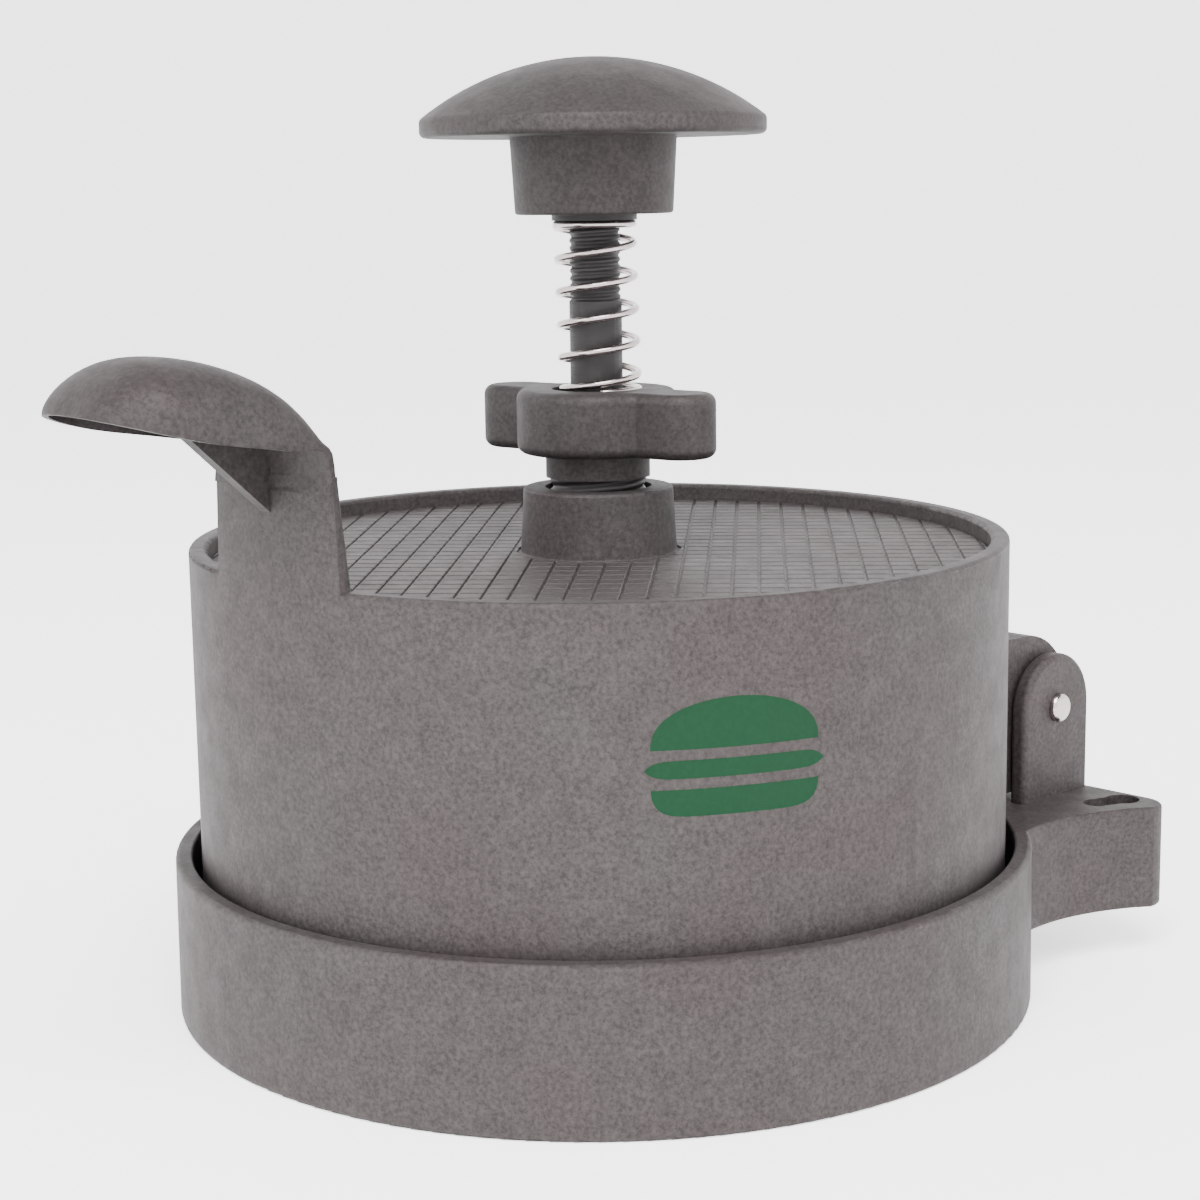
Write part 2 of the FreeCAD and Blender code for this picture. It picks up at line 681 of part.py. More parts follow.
def make_adjuster_knob():
    """Round hub with two wings, a collar below and a spring seat on top."""
    hub = cylinder("knob_hub", "dims.knob_radius", "dims.knob_height", "dims.knob_bottom")
    parts = [hub, box("knob_bar", "-dims.knob_wing_centre", "-dims.knob_wing_half_width",
                      "dims.knob_bottom", "2 * dims.knob_wing_centre",
                      "2 * dims.knob_wing_half_width", "dims.knob_height")]
    for side, name in ((1, "wing_tip_right"), (-1, "wing_tip_left")):
        parts.append(cylinder(name, "dims.knob_wing_half_width", "dims.knob_height",
                              "dims.knob_bottom", "%d * dims.knob_wing_centre" % side))
    plan = fuse("knob_plan", parts)

    def is_upright_root(edge):
        if not isinstance(edge.Curve, Part.Line) or abs(edge.tangentAt(0).z) < 0.99:
            return False
        from_axis = math.hypot(edge.CenterOfMass.x, edge.CenterOfMass.y)
        return abs(from_axis - SIZE["knob_radius"]) < 0.2

    filleted = round_edges("knob_roots", plan, SIZE["knob_root"], is_upright_root)
    top = SIZE["knob_bottom"] + SIZE["knob_height"]

    def is_outer_rim(edge):
        flat = all(abs(v.Z - top) < 0.01 or abs(v.Z - SIZE["knob_bottom"]) < 0.01
                   for v in edge.Vertexes)
        return flat and abs(edge.tangentAt(edge.FirstParameter).z) < 0.01

    rounded = round_edges("knob_rounded", filleted, SIZE["knob_edge"], is_outer_rim)
    collar = cylinder("knob_collar", "dims.collar_radius", "dims.collar_height + 1",
                      "dims.knob_bottom - dims.collar_height")
    solid = fuse("knob_solid", [turned_copy("knob_turned", rounded, SIZE["knob_angle"]),
                                collar])
    seat = cylinder("knob_seat", "dims.spring_seat_radius", "dims.spring_seat_depth + 1",
                    "dims.knob_bottom + dims.knob_height - dims.spring_seat_depth")
    socket = cylinder("knob_socket", "dims.sleeve_radius",
                      "dims.sleeve_top - dims.knob_bottom + dims.collar_height + 1",
                      "dims.knob_bottom - dims.collar_height - 1")
    through = cylinder("knob_through", "dims.sleeve_bore", "30", "dims.knob_bottom - 5")
    return cut("adjuster_knob", solid, fuse("knob_bores", [seat, socket, through]))


def make_adjuster_sleeve():
    """Threaded tube, drawn at its outside diameter, that screws in the boss."""
    ring_top = "dims.stop_ring_z + dims.stop_ring_height"
    return turned_body("adjuster_sleeve", [
        ("dims.sleeve_bore", "dims.sleeve_bottom"),
        ("dims.sleeve_radius - dims.sleeve_end_relief", "dims.sleeve_bottom"),
        ("dims.sleeve_radius - dims.sleeve_end_relief", "dims.stop_ring_z"),
        ("dims.stop_groove_radius", "dims.stop_ring_z"),
        ("dims.stop_groove_radius", ring_top),
        ("dims.sleeve_radius", ring_top),
        ("dims.sleeve_radius", "dims.sleeve_top"),
        ("dims.sleeve_bore", "dims.sleeve_top"),
    ])


def make_stop_ring():
    """Split retaining ring that keeps the sleeve from leaving the boss."""
    ring = cylinder("ring_blank", "dims.stop_ring_radius", "dims.stop_ring_height",
                    "dims.stop_ring_z")
    bore = cylinder("ring_bore", "dims.stop_groove_radius", "dims.stop_ring_height + 2",
                    "dims.stop_ring_z - 1")
    gap = box("ring_gap", "-dims.stop_ring_gap / 2", "0", "dims.stop_ring_z - 1",
              "dims.stop_ring_gap", "dims.stop_ring_radius + 2", "dims.stop_ring_height + 2")
    return cut("sleeve_stop_ring", ring, fuse("ring_tools", [bore, gap]))


def washer(name, radius, bore, thickness, z):
    blank = cylinder(name + "_blank", radius, thickness, z)
    hole = cylinder(name + "_hole", bore, thickness + " + 2", z + " - 1")
    return cut(name, blank, hole)


SEAT_Z = "dims.knob_bottom + dims.knob_height - dims.spring_seat_depth"
SPRING_FOOT = SEAT_Z + " + dims.washer_thickness"


def make_spring():
    """Compression spring with both ends ground flat."""
    foot = evaluate(SPRING_FOOT)
    head = SIZE["palm_hub_z"] - SIZE["cap_washer_thickness"]
    wire, mean = SIZE["spring_wire_radius"], SIZE["spring_mean_radius"]
    pitch = (head - foot) / (SIZE["spring_turns"] - 0.6)
    start = foot - 0.3 * pitch
    path = Part.makeHelix(pitch, SIZE["spring_turns"] * pitch, mean)
    path.translate(Vector(0, 0, start))
    section = Part.Wire([Part.makeCircle(wire, Vector(mean, 0, start), Vector(0, 1, 0))])
    coil = Part.Wire(path.Edges).makePipeShell([section], True, True)
    obj = add("Part::Feature", "spring_coil")
    obj.Shape = coil
    slab = cylinder("spring_slab", "2 * dims.spring_mean_radius",
                    "dims.palm_hub_z - dims.cap_washer_thickness - (" + SPRING_FOOT + ")",
                    SPRING_FOOT)
    return common("spring", [obj, slab])


# ------------------------------------------------------------------- plunger

def make_plunger_rod():
    """Rod with a threaded top end, and a spigot tapped for the plate screw."""
    rod = turned_body("rod_turned", [
        ("0", "dims.plate_bottom + 3"),
        ("dims.rod_spigot_radius", "dims.plate_bottom + 3"),
        ("dims.rod_spigot_radius", "dims.plate_hub_top"),
        ("dims.rod_radius", "dims.plate_hub_top"),
        ("dims.rod_radius", "dims.rod_thread_z"),
        ("dims.rod_thread_radius", "dims.rod_thread_z + 0.4"),
        ("dims.rod_thread_radius", "dims.rod_top_z"),
        ("0", "dims.rod_top_z"),
    ])
    tapped = cylinder("rod_tapped_hole", "dims.screw_radius", "dims.screw_length",
                      "dims.plate_bottom")
    return cut("plunger_rod", rod, tapped)


def make_palm_knob():
    """Mushroom knob: tapered hub under a shallow dome."""
    radius, rise = "dims.palm_radius", "(dims.palm_apex_z - dims.palm_band_z)"
    ball_radius = "(%s * %s + %s * %s) / (2 * %s)" % (radius, radius, rise, rise, rise)
    ball = add("Part::Sphere", "palm_ball")
    bind(ball, Radius=ball_radius, Placement__Base__z="dims.palm_apex_z - " + ball_radius)
    drum = cylinder("palm_drum", "dims.palm_radius", "20", "dims.palm_rim_z")
    cap = common("palm_cap", [ball, drum])
    soft = round_edges("palm_cap_soft", cap, SIZE["palm_rim_round"],
                       lambda e: is_circle(e, SIZE["palm_radius"]))
    hub = cone("palm_hub", "dims.palm_hub_foot_radius", "dims.palm_hub_top_radius",
               "dims.palm_rim_z - dims.palm_hub_z + 0.5", "dims.palm_hub_z")
    hub_soft = round_edges("palm_hub_soft", hub, SIZE["palm_hub_round"],
                           lambda e: is_circle(e, SIZE["palm_hub_foot_radius"]))
    solid = fuse("palm_solid", [soft, hub_soft])
    hole = cylinder("palm_hole", "dims.rod_thread_radius",
                    "dims.rod_top_z - dims.palm_hub_z + 1", "dims.palm_hub_z - 1")
    return cut("palm_knob", solid, hole)


def make_press_plate():
    """Disc with a stiffening rim, a hub and six ribs on its upper side."""
    lower = "dims.plate_bottom"
    face = "dims.plate_bottom + dims.plate_thickness"
    rim_top = face + " + dims.plate_rim_height"
    disc = turned_body("plate_disc", [
        ("dims.rod_spigot_radius", lower),
        ("dims.plate_radius", lower),
        ("dims.plate_radius", rim_top),
        ("dims.plate_radius - dims.plate_rim_width", rim_top),
        ("dims.plate_radius - dims.plate_rim_width", face),
        ("dims.plate_hub_radius + 1", face),
        ("dims.plate_hub_radius", "dims.plate_hub_top"),
        ("dims.rod_spigot_radius", "dims.plate_hub_top"),
    ])
    ribs = []
    for index in range(6):
        rib = box("plate_rib_%d" % (index + 1), "dims.plate_hub_radius - 1",
                  "-dims.plate_rib_width / 2", face + " - 0.5",
                  "dims.plate_radius - dims.plate_hub_radius - 0.5",
                  "dims.plate_rib_width", "dims.plate_rib_height")
        ribs.append(turned_copy("plate_rib_turned_%d" % (index + 1), rib, 60 * index))
    solid = fuse("plate_solid", [disc] + ribs)
    sink = cylinder("plate_sink", "dims.screw_head_radius + 0.3",
                    "dims.screw_head_height + 0.2", "dims.plate_bottom")
    return cut("press_plate", solid, sink)


def make_plate_screw():
    """Button-head screw that clamps the plate against the rod's shoulder."""
    head = cylinder("screw_head", "dims.screw_head_radius", "dims.screw_head_height",
                    "dims.plate_bottom + dims.screw_clearance")
    shank = cylinder("screw_shank", "dims.screw_radius",
                     "dims.screw_length - 3 * dims.screw_clearance",
                     "dims.plate_bottom + 2 * dims.screw_clearance")
    blank = fuse("screw_blank", [head, shank])
    drive = cylinder("screw_drive", "dims.screw_drive_radius", "dims.screw_drive_depth",
                     "dims.plate_bottom + dims.screw_clearance")
    return cut("plate_screw", blank, drive)


# -------------------------------------------------------------------- output

subparts = {
    "base_tray": make_base_tray(),
    "hinge_pin": make_hinge_pin(),
    "lid_housing": make_lid_housing(),
    "adjuster_knob": make_adjuster_knob(),
    "adjuster_sleeve": make_adjuster_sleeve(),
    "sleeve_stop_ring": make_stop_ring(),
    "spring_washer": washer("spring_washer", "dims.washer_radius", "dims.washer_bore",
                            "dims.washer_thickness", SEAT_Z),
    "spring": make_spring(),
    "cap_washer": washer("cap_washer", "dims.cap_washer_radius", "dims.cap_washer_bore",
                         "dims.cap_washer_thickness",
                         "dims.palm_hub_z - dims.cap_washer_thickness"),
    "plunger_rod": make_plunger_rod(),
    "palm_knob": make_palm_knob(),
    "press_plate": make_press_plate(),
    "plate_screw": make_plate_screw(),
}
doc.recompute()

for item in doc.Objects:
    if "Invalid" in item.State or "Error" in item.State:
        raise RuntimeError("failed object: " + item.Label)

os.makedirs("parts", exist_ok=True)
for node, item in subparts.items():
    shape = item.Shape
    if shape.isNull() or not shape.isValid() or len(shape.Solids) != 1:
        raise RuntimeError("bad shape: %s, %d solids" % (node, len(shape.Solids)))
    shape.exportStep("parts/%s.step" % node)
    limits = shape.BoundBox
    print("%-18s %8.2f cm3  x %.1f..%.1f  y %.1f..%.1f  z %.1f..%.1f" % (
        node, shape.Volume / 1000, limits.XMin, limits.XMax, limits.YMin, limits.YMax,
        limits.ZMin, limits.ZMax))
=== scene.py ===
"""Looks of the patty press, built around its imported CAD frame.

Blender works in metres; the shapes below are given in millimetres about the press axis.
"""

import json
import math

import bpy
from mathutils import Matrix, Vector


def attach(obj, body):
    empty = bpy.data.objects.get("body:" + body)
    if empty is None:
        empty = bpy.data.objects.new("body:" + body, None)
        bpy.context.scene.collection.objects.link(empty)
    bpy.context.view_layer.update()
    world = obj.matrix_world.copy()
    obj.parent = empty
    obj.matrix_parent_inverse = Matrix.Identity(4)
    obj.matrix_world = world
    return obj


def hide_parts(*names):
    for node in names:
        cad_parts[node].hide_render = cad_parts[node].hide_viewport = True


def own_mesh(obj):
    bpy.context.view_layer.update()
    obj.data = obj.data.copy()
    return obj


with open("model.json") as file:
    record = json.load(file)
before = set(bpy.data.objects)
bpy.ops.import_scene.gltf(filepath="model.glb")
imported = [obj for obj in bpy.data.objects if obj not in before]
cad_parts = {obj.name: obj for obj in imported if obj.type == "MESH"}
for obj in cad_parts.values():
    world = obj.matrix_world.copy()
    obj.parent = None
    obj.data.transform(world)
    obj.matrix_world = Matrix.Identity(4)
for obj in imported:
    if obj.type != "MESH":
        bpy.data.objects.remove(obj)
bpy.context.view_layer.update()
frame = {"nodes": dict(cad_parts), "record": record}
MM = 0.001


# ------------------------------------------------------------------ materials

GREY_TINT = (1.09, 0.965, 0.955)
WARM_TINT = (1.20, 0.95, 0.96)
WHITE = (1.0, 1.0, 1.0)

CASTING_TONE = 0.032
# heights in mm over which the casting's colour is darkened as painted shade, and the darkest
# factor
PAINTED_SHADE_FROM, PAINTED_SHADE_TO, PAINTED_SHADE_DEPTH = 66, 82, 0.76
GREEN_INK = (0.002, 0.028, 0.010)


def new_material(name):
    material = bpy.data.materials.new(name)
    material.use_nodes = True
    return material, material.node_tree.nodes, material.node_tree.links


def noise(nodes, links, coords, scale, detail=3.0, roughness=0.55):
    texture = nodes.new("ShaderNodeTexNoise")
    texture.inputs["Scale"].default_value = scale
    texture.inputs["Detail"].default_value = detail
    texture.inputs["Roughness"].default_value = roughness
    links.new(coords, texture.inputs["Vector"])
    return texture.outputs["Fac"]


def ramp(nodes, links, factor, stops):
    """Colour ramp with (position, colour) stops."""
    node = nodes.new("ShaderNodeValToRGB")
    elements = node.color_ramp.elements
    while len(elements) < len(stops):
        elements.new(0.5)
    for element, (position, colour) in zip(elements, stops):
        element.position = position
        element.color = (*colour, 1.0)
    links.new(factor, node.inputs["Fac"])
    return node.outputs["Color"]


def multiply(nodes, links, first, second):
    """Product of two colours."""
    node = nodes.new("ShaderNodeMix")
    node.data_type = "RGBA"
    node.blend_type = "MULTIPLY"
    node.inputs["Factor"].default_value = 1.0
    links.new(first, node.inputs["A"])
    links.new(second, node.inputs["B"])
    return node.outputs["Result"]


def add_bump(nodes, links, shader, height, strength, distance):
    """Fine relief on the shader from a height texture."""
    bump = nodes.new("ShaderNodeBump")
    bump.inputs["Strength"].default_value = strength
    bump.inputs["Distance"].default_value = distance
    links.new(height, bump.inputs["Height"])
    links.new(bump.outputs["Normal"], shader.inputs["Normal"])


def even(value):
    return (value, value, value)


def tinted(tint, value):
    return tuple(value * part for part in tint)


def coated_casting():
    """Grey non-stick coating on cast aluminium: fine grain and mottle.

    Above the lid the colour is darkened with height: painted shade on the handle, boss and
    knobs.
    """
    material, nodes, links = new_material("coated_casting")
    shader = nodes["Principled BSDF"]
    coords = nodes.new("ShaderNodeTexCoord").outputs["Object"]
    mottle = noise(nodes, links, coords, 38.0)
    patch = noise(nodes, links, coords, 260.0)
    speckle = noise(nodes, links, coords, 1500.0, roughness=0.7)
    base = ramp(nodes, links, mottle, [(0.32, tinted(WARM_TINT, CASTING_TONE * 0.94)),
                                       (0.68, tinted(GREY_TINT, CASTING_TONE * 1.06))])
    clouds = ramp(nodes, links, patch, [(0.3, even(0.94)), (0.7, even(1.06))])
    dots = ramp(nodes, links, speckle, [(0.34, even(0.66)), (0.50, even(1.0)),
                                        (0.68, even(1.38))])
    # painted shade: the colour darkens with height above the lid
    place = nodes.new("ShaderNodeSeparateXYZ")
    links.new(coords, place.inputs["Vector"])
    height = nodes.new("ShaderNodeMapRange")
    height.inputs["From Min"].default_value = PAINTED_SHADE_FROM * MM
    height.inputs["From Max"].default_value = PAINTED_SHADE_TO * MM
    links.new(place.outputs["Z"], height.inputs["Value"])
    painted_shade = ramp(nodes, links, height.outputs["Result"],
                   [(0.0, even(1.0)), (1.0, even(PAINTED_SHADE_DEPTH))])
    shaded = multiply(nodes, links, base, painted_shade)
    clouded = multiply(nodes, links, shaded, clouds)
    links.new(multiply(nodes, links, clouded, dots), shader.inputs["Base Color"])
    gloss = ramp(nodes, links, patch, [(0.3, even(0.66)), (0.7, even(0.56))])
    links.new(gloss, shader.inputs["Roughness"])
    shader.inputs["Metallic"].default_value = 0.25
    shader.inputs["Specular IOR Level"].default_value = 0.22
    add_bump(nodes, links, shader, speckle, 0.3, 0.00008)
    return material


def steel(name, tone, roughness, metallic):
    """Steel with fine drawing lines along Z and slight staining."""
    material, nodes, links = new_material(name)
    shader = nodes["Principled BSDF"]
    coords = nodes.new("ShaderNodeTexCoord").outputs["Object"]
    stretch = nodes.new("ShaderNodeMapping")
    stretch.inputs["Scale"].default_value = (1.0, 1.0, 14.0)
    links.new(coords, stretch.inputs["Vector"])
    lines = noise(nodes, links, stretch.outputs["Vector"], 420.0, detail=4.0)
    stain = noise(nodes, links, coords, 160.0)
    base = ramp(nodes, links, stain, [(0.3, tinted(GREY_TINT, tone * 0.8)),
                                      (0.7, tinted(GREY_TINT, tone * 1.1))])
    links.new(base, shader.inputs["Base Color"])
    rough = ramp(nodes, links, lines, [(0.3, even(roughness * 0.8)),
                                       (0.7, even(roughness * 1.25))])
    links.new(rough, shader.inputs["Roughness"])
    shader.inputs["Metallic"].default_value = metallic
    shader.inputs["Specular IOR Level"].default_value = 0.25
    add_bump(nodes, links, shader, lines, 0.15, 0.00005)
    return material


def printed_mark():
    """Flat green enamel print, slightly worn."""
    material, nodes, links = new_material("green_print")
    shader = nodes["Principled BSDF"]
    coords = nodes.new("ShaderNodeTexCoord").outputs["Object"]
    wear = noise(nodes, links, coords, 1500.0)
    tint = ramp(nodes, links, wear, [(0.35, tinted(GREEN_INK, 0.85)), (0.65, GREEN_INK)])
    links.new(tint, shader.inputs["Base Color"])
    shader.inputs["Roughness"].default_value = 0.7
    shader.inputs["Specular IOR Level"].default_value = 0.15
    return material


def studio_paper():
    """Plain white paper with a faint glow of its own."""
    material, nodes, _ = new_material("studio_paper")
    shader = nodes["Principled BSDF"]
    shader.inputs["Base Color"].default_value = (*even(0.93), 1.0)
    shader.inputs["Roughness"].default_value = 0.8
    shader.inputs["Specular IOR Level"].default_value = 0.2
    shader.inputs["Emission Color"].default_value = (*WHITE, 1.0)
    shader.inputs["Emission Strength"].default_value = 1.3
    return material


CASTING = coated_casting()
DARK = steel("dark_steel", 0.012, 0.5, metallic=0.0)
BRIGHT = steel("bright_steel", 0.38, 0.22, metallic=1.0)
GREEN = printed_mark()

LOOKS = {"coated_casting": CASTING, "dark_steel": DARK, "bright_steel": BRIGHT}
for entry in frame["record"]["subparts"]:
    node = frame["nodes"][entry["node"]]
    node.data.materials.clear()
    node.data.materials.append(LOOKS[entry["material_slot"]])


# ------------------------------------------------------------------ details

# Direction in plan that runs to the camera's right, about Z from +X.
ACROSS_ANGLE = math.radians(46.3)

PLATE_TOP = 67.0                                # top face of the lid's recessed plate
PAD_SPACING, PAD_GROOVE, PAD_HEIGHT, PAD_EDGE = 3.7, 0.42, 0.42, 0.12
PAD_TURN = math.radians(42.4)
PAD_INNER, PAD_OUTER = 12.3, 58.0               # radii that the pads are cut to
PAD_NEAREST, PAD_FARTHEST = 8, 61               # radii of the pad centres worth cutting

AROUND = 56                                     # points round a screw thread
THREAD_STEPS = 8                                # rows of points in one pitch
THREAD_FADE = 0.4                               # share of a pitch over which it runs out

SPRING_WIRE, SPRING_MEAN = 0.55, 5.65           # radii of the wire and of the coil
SPRING_FOOT, SPRING_HEAD = 90.9, 116.4          # heights of the faces it stands between
SPRING_PITCH, SPRING_ZERO = 4.80, 96.3          # free coils: pitch, height at turn 0
SPRING_FIRST, SPRING_LAST = -1.75, 5.15         # turns at its two ends
SPRING_END_RISE, SPRING_EASE = 0.25, 0.35       # closed coil's rise a turn, easing height
SPRING_LEAN = 0.6                               # how far the foot is pushed aside
SPRING_STEPS, WIRE_SIDES = 520, 12

MARK_ANGLE, MARK_HEIGHT, MARK_RADIUS = math.radians(-27.2), 48.1, 61.03
BUN_HALF, PATTY_HALF, MARK_COLUMNS = 11.5, 12.3, 60


def make_object(name, points, faces, material, body, smooth=False):
    """Mesh object from points in millimetres, riding on a CAD body."""
    mesh = bpy.data.meshes.new(name)
    mesh.from_pydata([tuple(c * MM for c in point) for point in points], [], faces)
    mesh.validate()
    for polygon in mesh.polygons:
        polygon.use_smooth = smooth
    shown = bpy.data.objects.new(name, mesh)
    bpy.context.collection.objects.link(shown)
    shown.data.materials.append(material)
    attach(shown, body)
    return shown


def on_circle(radius, angle, z):
    return (radius * math.cos(angle), radius * math.sin(angle), z)


def join_rows(faces, start, count, rows_apart=1):
    """Quads between two rings of points that are next to each other in the list."""
    above = start + rows_apart * count
    for k in range(count):
        n = (k + 1) % count
        faces.append((start + k, start + n, above + n, above + k))


def clipped(corners, direction, limit, keep_below):
    """Convex polygon cut by the line where direction . p = limit."""
    sign = 1 if keep_below else -1
    kept = []
    for first, second in zip(corners, corners[1:] + corners[:1]):
        d1 = sign * (first[0] * direction[0] + first[1] * direction[1] - limit)
        d2 = sign * (second[0] * direction[0] + second[1] * direction[1] - limit)
        if d1 <= 0:
            kept.append(first)
        if d1 * d2 < 0:
            share = d1 / (d1 - d2)
            kept.append(tuple(a + (b - a) * share for a, b in zip(first, second)))
    return kept


def waffle_top():
    """Square pads between fine grooves on the lid's recessed plate."""
    along = (math.cos(PAD_TURN), math.sin(PAD_TURN))
    side = (-math.sin(PAD_TURN), math.cos(PAD_TURN))
    half, high = (PAD_SPACING - PAD_GROOVE) / 2, PLATE_TOP + PAD_HEIGHT
    span = int(PAD_FARTHEST / PAD_SPACING) + 1
    points, faces = [], []
    for i in range(-span, span + 1):
        for j in range(-span, span + 1):
            centre = [PAD_SPACING * (i * a + j * b) for a, b in zip(along, side)]
            reach = math.hypot(*centre)
            if reach > PAD_FARTHEST or reach < PAD_NEAREST:
                continue
            corners = [tuple(c + half * (u * a + v * b) for c, a, b in zip(centre, along, side))
                       for u, v in ((-1, -1), (1, -1), (1, 1), (-1, 1))]
            outward = (centre[0] / reach, centre[1] / reach)
            corners = clipped(corners, outward, PAD_OUTER, True)
            corners = clipped(corners, outward, PAD_INNER, False) if len(corners) > 2 else []
            if len(corners) < 3:
                continue
            count, start = len(corners), len(points)
            middle = [sum(p[k] for p in corners) / count for k in (0, 1)]
            inner = [tuple(m + (p - m) * (1 - PAD_EDGE / half) for p, m in zip(corner, middle))
                     for corner in corners]
            points += [(x, y, PLATE_TOP) for x, y in corners]
            points += [(x, y, high - PAD_EDGE) for x, y in corners]
            points += [(x, y, high) for x, y in inner]
            join_rows(faces, start, count)
            join_rows(faces, start + count, count)
            faces.append(tuple(range(start + 2 * count, start + 3 * count)))
    make_object("lid_waffle", points, faces, CASTING, "lid")


def thread_radius(z, turn, crest, root, pitch, starts):
    """Radius of a trapezoid screw thread at this height and this share of a turn."""
    phase = (z / pitch - starts * turn) % 1.0
    ridge = max(0.0, min(1.0, 2.4 * (1 - abs(2 * phase - 1)) - 0.6))
    return root + (crest - root) * ridge


def thread_rows(crest, root, pitch, starts, low, high):
    """Rows of points of a thread that fades to its root at both ends."""
    levels = int((high - low) / pitch * THREAD_STEPS) + 1
    rows = []
    for level in range(levels + 1):
        z = low + (high - low) * level / levels
        inside = min(z - low, high - z) / (THREAD_FADE * pitch)
        peak = root + (crest - root) * max(0.0, min(1.0, inside))
        rows.append([on_circle(thread_radius(z, k / AROUND, peak, root, pitch, starts),
                               2 * math.pi * k / AROUND, z) for k in range(AROUND)])
    return rows


def plain_row(radius, z):
    return [on_circle(radius, 2 * math.pi * k / AROUND, z) for k in range(AROUND)]


def ring_tube(name, rows, closed, material, body):
    """Tube through rows of points about Z; a closed one joins its last row to its first."""
    points, faces = [point for row in rows for point in row], []
    for row in range(len(rows) - 1):
        join_rows(faces, row * AROUND, AROUND)
    if closed:
        join_rows(faces, (len(rows) - 1) * AROUND, AROUND, rows_apart=1 - len(rows))
    return make_object(name, points, faces, material, body, smooth=True)


def rod_thread():
    """Screw thread on the plunger's top end, up to the palm knob."""
    crest, root, pitch, bottom, top = 3.74, 3.5, 1.1, 104.6, 117.2
    rows = thread_rows(crest, root, pitch, 1, bottom, top)
    ring_tube("rod_thread", rows, False, DARK, "plunger")


def threaded_sleeve():
    """Adjuster sleeve with its two-start thread, bore and stop-ring groove."""
    bore, end, groove, crest, root, pitch = 4.2, 6.8, 6.4, 7.2, 6.75, 1.6
    bottom, ring_low, ring_high, top = 36.1, 36.7, 37.8, 88.6
    rows = [plain_row(bore, bottom), plain_row(end, bottom), plain_row(end, ring_low),
            plain_row(groove, ring_low), plain_row(groove, ring_high)]
    rows += thread_rows(crest, root, pitch, 2, ring_high, top)
    rows.append(plain_row(bore, top))
    sleeve = ring_tube("sleeve_thread", rows, True, DARK, "adjuster")
    sleeve.modifiers.new("crisp_edges", "EDGE_SPLIT").split_angle = math.radians(50)
    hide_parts("adjuster_sleeve")


def coil_height(turn):
    """Height of the wire's centre: free coils, easing into a closed coil at each end."""
    free = SPRING_ZERO + SPRING_PITCH * turn
    low = SPRING_FOOT + SPRING_WIRE + SPRING_END_RISE * (turn - SPRING_FIRST)
    high = SPRING_HEAD - SPRING_WIRE
    z = max(low, min(high, free))
    for level, sign in ((low, 1), (high, -1)):
        gap = sign * (free - level)
        if abs(gap) < SPRING_EASE:
            z = level + sign * (gap + SPRING_EASE) ** 2 / (4 * SPRING_EASE)
    return z


def coil_spring():
    """Spring with a closed coil at each end, leaning a little where it has been used."""
    foot, length = SPRING_FOOT, SPRING_HEAD - SPRING_FOOT
    line = []
    for step in range(SPRING_STEPS + 1):
        turn = SPRING_FIRST + (SPRING_LAST - SPRING_FIRST) * step / SPRING_STEPS
        z = coil_height(turn)
        angle = ACROSS_ANGLE + math.pi + 2 * math.pi * turn
        shift = SPRING_LEAN * (1 - (z - foot) / length)
        line.append(Vector(on_circle(SPRING_MEAN, angle, z))
                    + Vector(on_circle(shift, ACROSS_ANGLE, 0)))
    points, faces = [], []
    for step, centre in enumerate(line):
        ahead, behind = line[min(step + 1, SPRING_STEPS)], line[max(step - 1, 0)]
        tangent = (ahead - behind).normalized()
        side = tangent.cross(Vector((0, 0, 1))).normalized()
        upper = side.cross(tangent)
        for k in range(WIRE_SIDES):
            angle = 2 * math.pi * k / WIRE_SIDES
            points.append(tuple(centre + SPRING_WIRE * (side * math.cos(angle)
                                                        + upper * math.sin(angle))))
    for step in range(SPRING_STEPS):
        join_rows(faces, step * WIRE_SIDES, WIRE_SIDES)
    faces.append(tuple(reversed(range(WIRE_SIDES))))
    faces.append(tuple(range(SPRING_STEPS * WIRE_SIDES, (SPRING_STEPS + 1) * WIRE_SIDES)))
    coil = make_object("spring_coil", points, faces, BRIGHT, "thickness_carrier", smooth=True)
    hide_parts("spring")
    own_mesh(coil)


def bun_top(x):
    return 2.6, 2.6 + 6.6 * max(0.0, 1 - (x / BUN_HALF) ** 2) ** 0.42


def patty(x):
    end = max(0.0, 1 - (abs(x) / PATTY_HALF) ** 12)
    return -1.2 * end, 1.2 * end


def bun_bottom(x):
    end = max(0.0, 1 - (x / BUN_HALF) ** 8) ** 0.5
    return -2.6 - 3.6 * end, -2.6


def burger_mark():
    """Generic green pictogram on the cylinder: two bun halves and a patty."""
    points, faces = [], []
    for shape, reach in ((bun_top, BUN_HALF), (patty, PATTY_HALF), (bun_bottom, BUN_HALF)):
        start = len(points)
        for column in range(MARK_COLUMNS + 1):
            x = reach * math.sin(math.pi * (column / MARK_COLUMNS - 0.5))
            angle = MARK_ANGLE + x / MARK_RADIUS
            points += [on_circle(MARK_RADIUS, angle, MARK_HEIGHT + z) for z in shape(x)]
        for column in range(MARK_COLUMNS):
            k = start + 2 * column
            faces.append((k, k + 2, k + 3, k + 1))
    make_object("burger_mark", points, faces, GREEN, "lid", smooth=True)


# ------------------------------------------------------------------ the stage

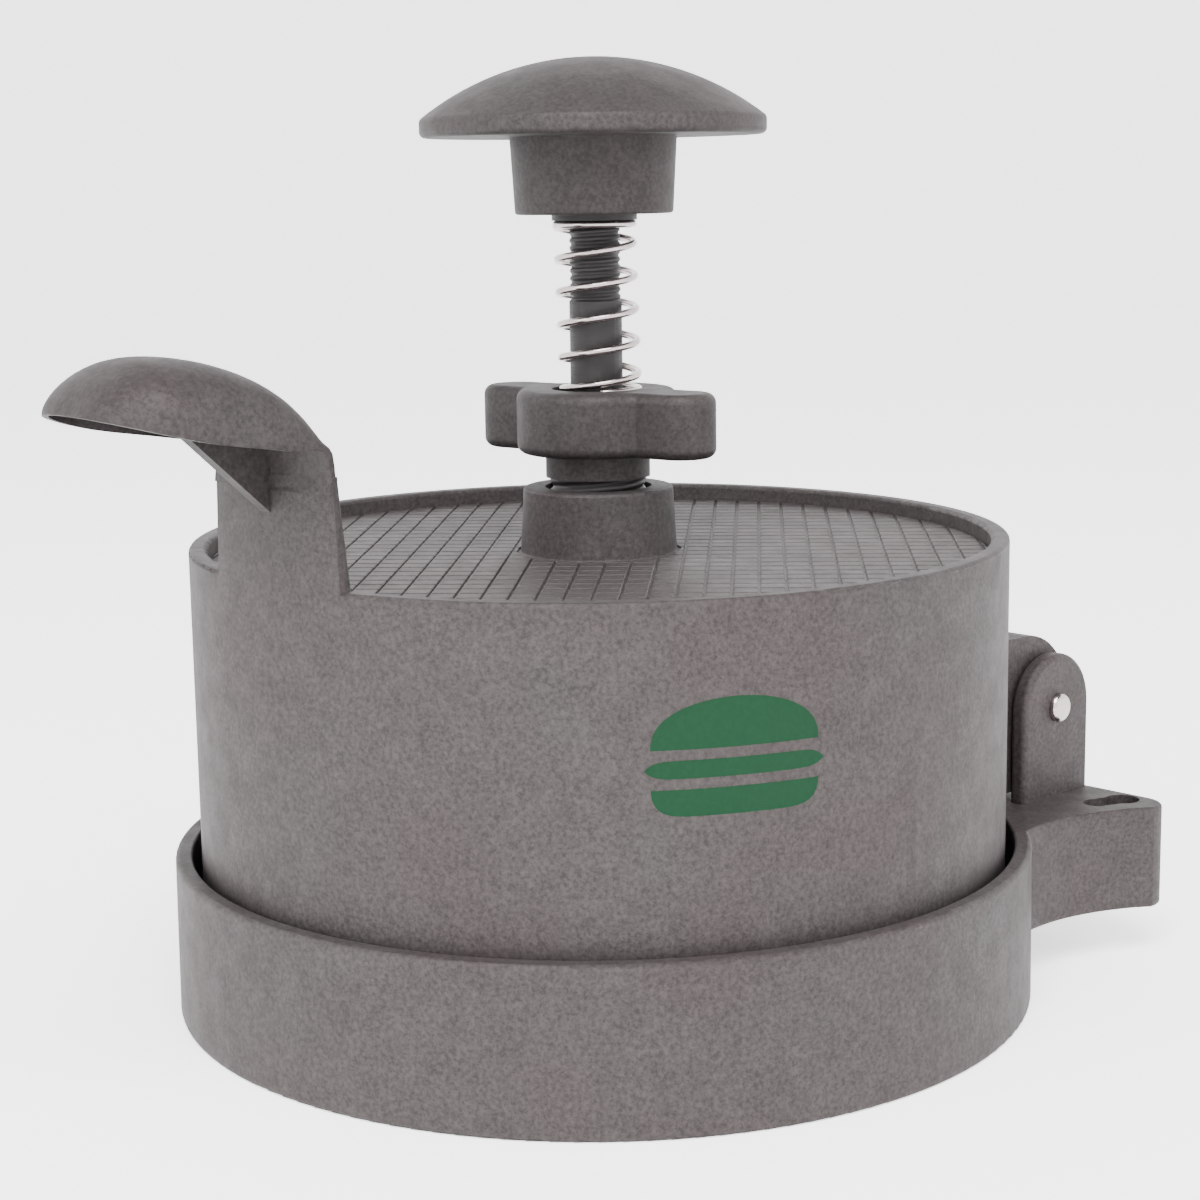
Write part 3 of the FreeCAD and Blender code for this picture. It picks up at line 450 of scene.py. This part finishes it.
def make_backdrop():
    """White paper bowl: flat under the object, curving up all round far away from it."""
    flat, curve, top, columns, steps = 1.6, 1.4, 3.2, 96, 16
    profile = [(flat + curve * math.sin(a), curve - curve * math.cos(a))
               for a in (math.pi / 2 * k / steps for k in range(steps + 1))]
    profile.append((flat + curve, top))
    points, faces = [(0.0, 0.0, 0.0)], []
    for out, up in profile:
        points += [on_circle(out, 2 * math.pi * k / columns, up) for k in range(columns)]
    for column in range(columns):
        beside = (column + 1) % columns
        faces.append((0, 1 + column, 1 + beside))
        for row in range(len(profile) - 1):
            low, high = 1 + row * columns, 1 + (row + 1) * columns
            faces.append((low + column, high + column, high + beside, low + beside))
    mesh = bpy.data.meshes.new("backdrop")
    mesh.from_pydata(points, [], faces)
    for polygon in mesh.polygons:
        polygon.use_smooth = True
    backdrop = bpy.data.objects.new("backdrop", mesh)
    bpy.context.collection.objects.link(backdrop)
    backdrop.data.materials.append(studio_paper())


def make_camera():
    """Main viewpoint: in front and to the right of the handle, slightly above."""
    distance, height = 353.05 * MM, 121.63 * MM
    pitch, roll = math.radians(9.963), math.radians(-0.859)
    across = Vector((math.cos(ACROSS_ANGLE), math.sin(ACROSS_ANGLE), 0))
    away = Vector((-math.sin(ACROSS_ANGLE), math.cos(ACROSS_ANGLE), 0))
    upright = Vector((0, 0, 1))
    forward = away * math.cos(pitch) - upright * math.sin(pitch)
    level_up = across.cross(forward)
    right = across * math.cos(roll) + level_up * math.sin(roll)
    up = level_up * math.cos(roll) - across * math.sin(roll)
    turn = Matrix((right, up, -forward)).transposed()
    data = bpy.data.cameras.new("camera")
    data.sensor_width = 36.0
    data.lens = 71.07
    data.clip_start = 0.01
    camera = bpy.data.objects.new("camera", data)
    bpy.context.collection.objects.link(camera)
    place = -away * distance + upright * height
    camera.matrix_world = Matrix.Translation(place) @ turn.to_4x4()
    bpy.context.scene.camera = camera
    return across, away


def area_light(name, place, target, size, power):
    """Square panel of white light aimed at the target."""
    data = bpy.data.lights.new(name, "AREA")
    data.shape = "RECTANGLE"
    data.size, data.size_y = size, size
    data.energy = power
    light = bpy.data.objects.new(name, data)
    bpy.context.collection.objects.link(light)
    light.location = place
    light.rotation_euler = (target - place).to_track_quat("-Z", "Y").to_euler()


def make_lights(across, away):
    """One broad overhead panel, a softer one each side, and an even pale surround."""
    centre = Vector((0, 0, 0.06))
    up = Vector((0, 0, 1))
    area_light("overhead", centre + up * 0.85 - away * 0.50, centre, 0.6, 24.0)
    area_light("left_panel", centre - across * 0.8 - away * 0.7 + up * 0.3, centre, 0.5, 4.0)
    area_light("right_panel", centre + across * 0.9 - away * 0.6 + up * 0.3, centre, 0.5, 1.0)
    world = bpy.data.worlds.new("surround")
    world.use_nodes = True
    surround = world.node_tree.nodes["Background"]
    surround.inputs["Color"].default_value = (*WHITE, 1.0)
    surround.inputs["Strength"].default_value = 0.15
    bpy.context.scene.world = world


waffle_top()
rod_thread()
threaded_sleeve()
coil_spring()
burger_mark()
make_backdrop()
across, away = make_camera()
make_lights(across, away)
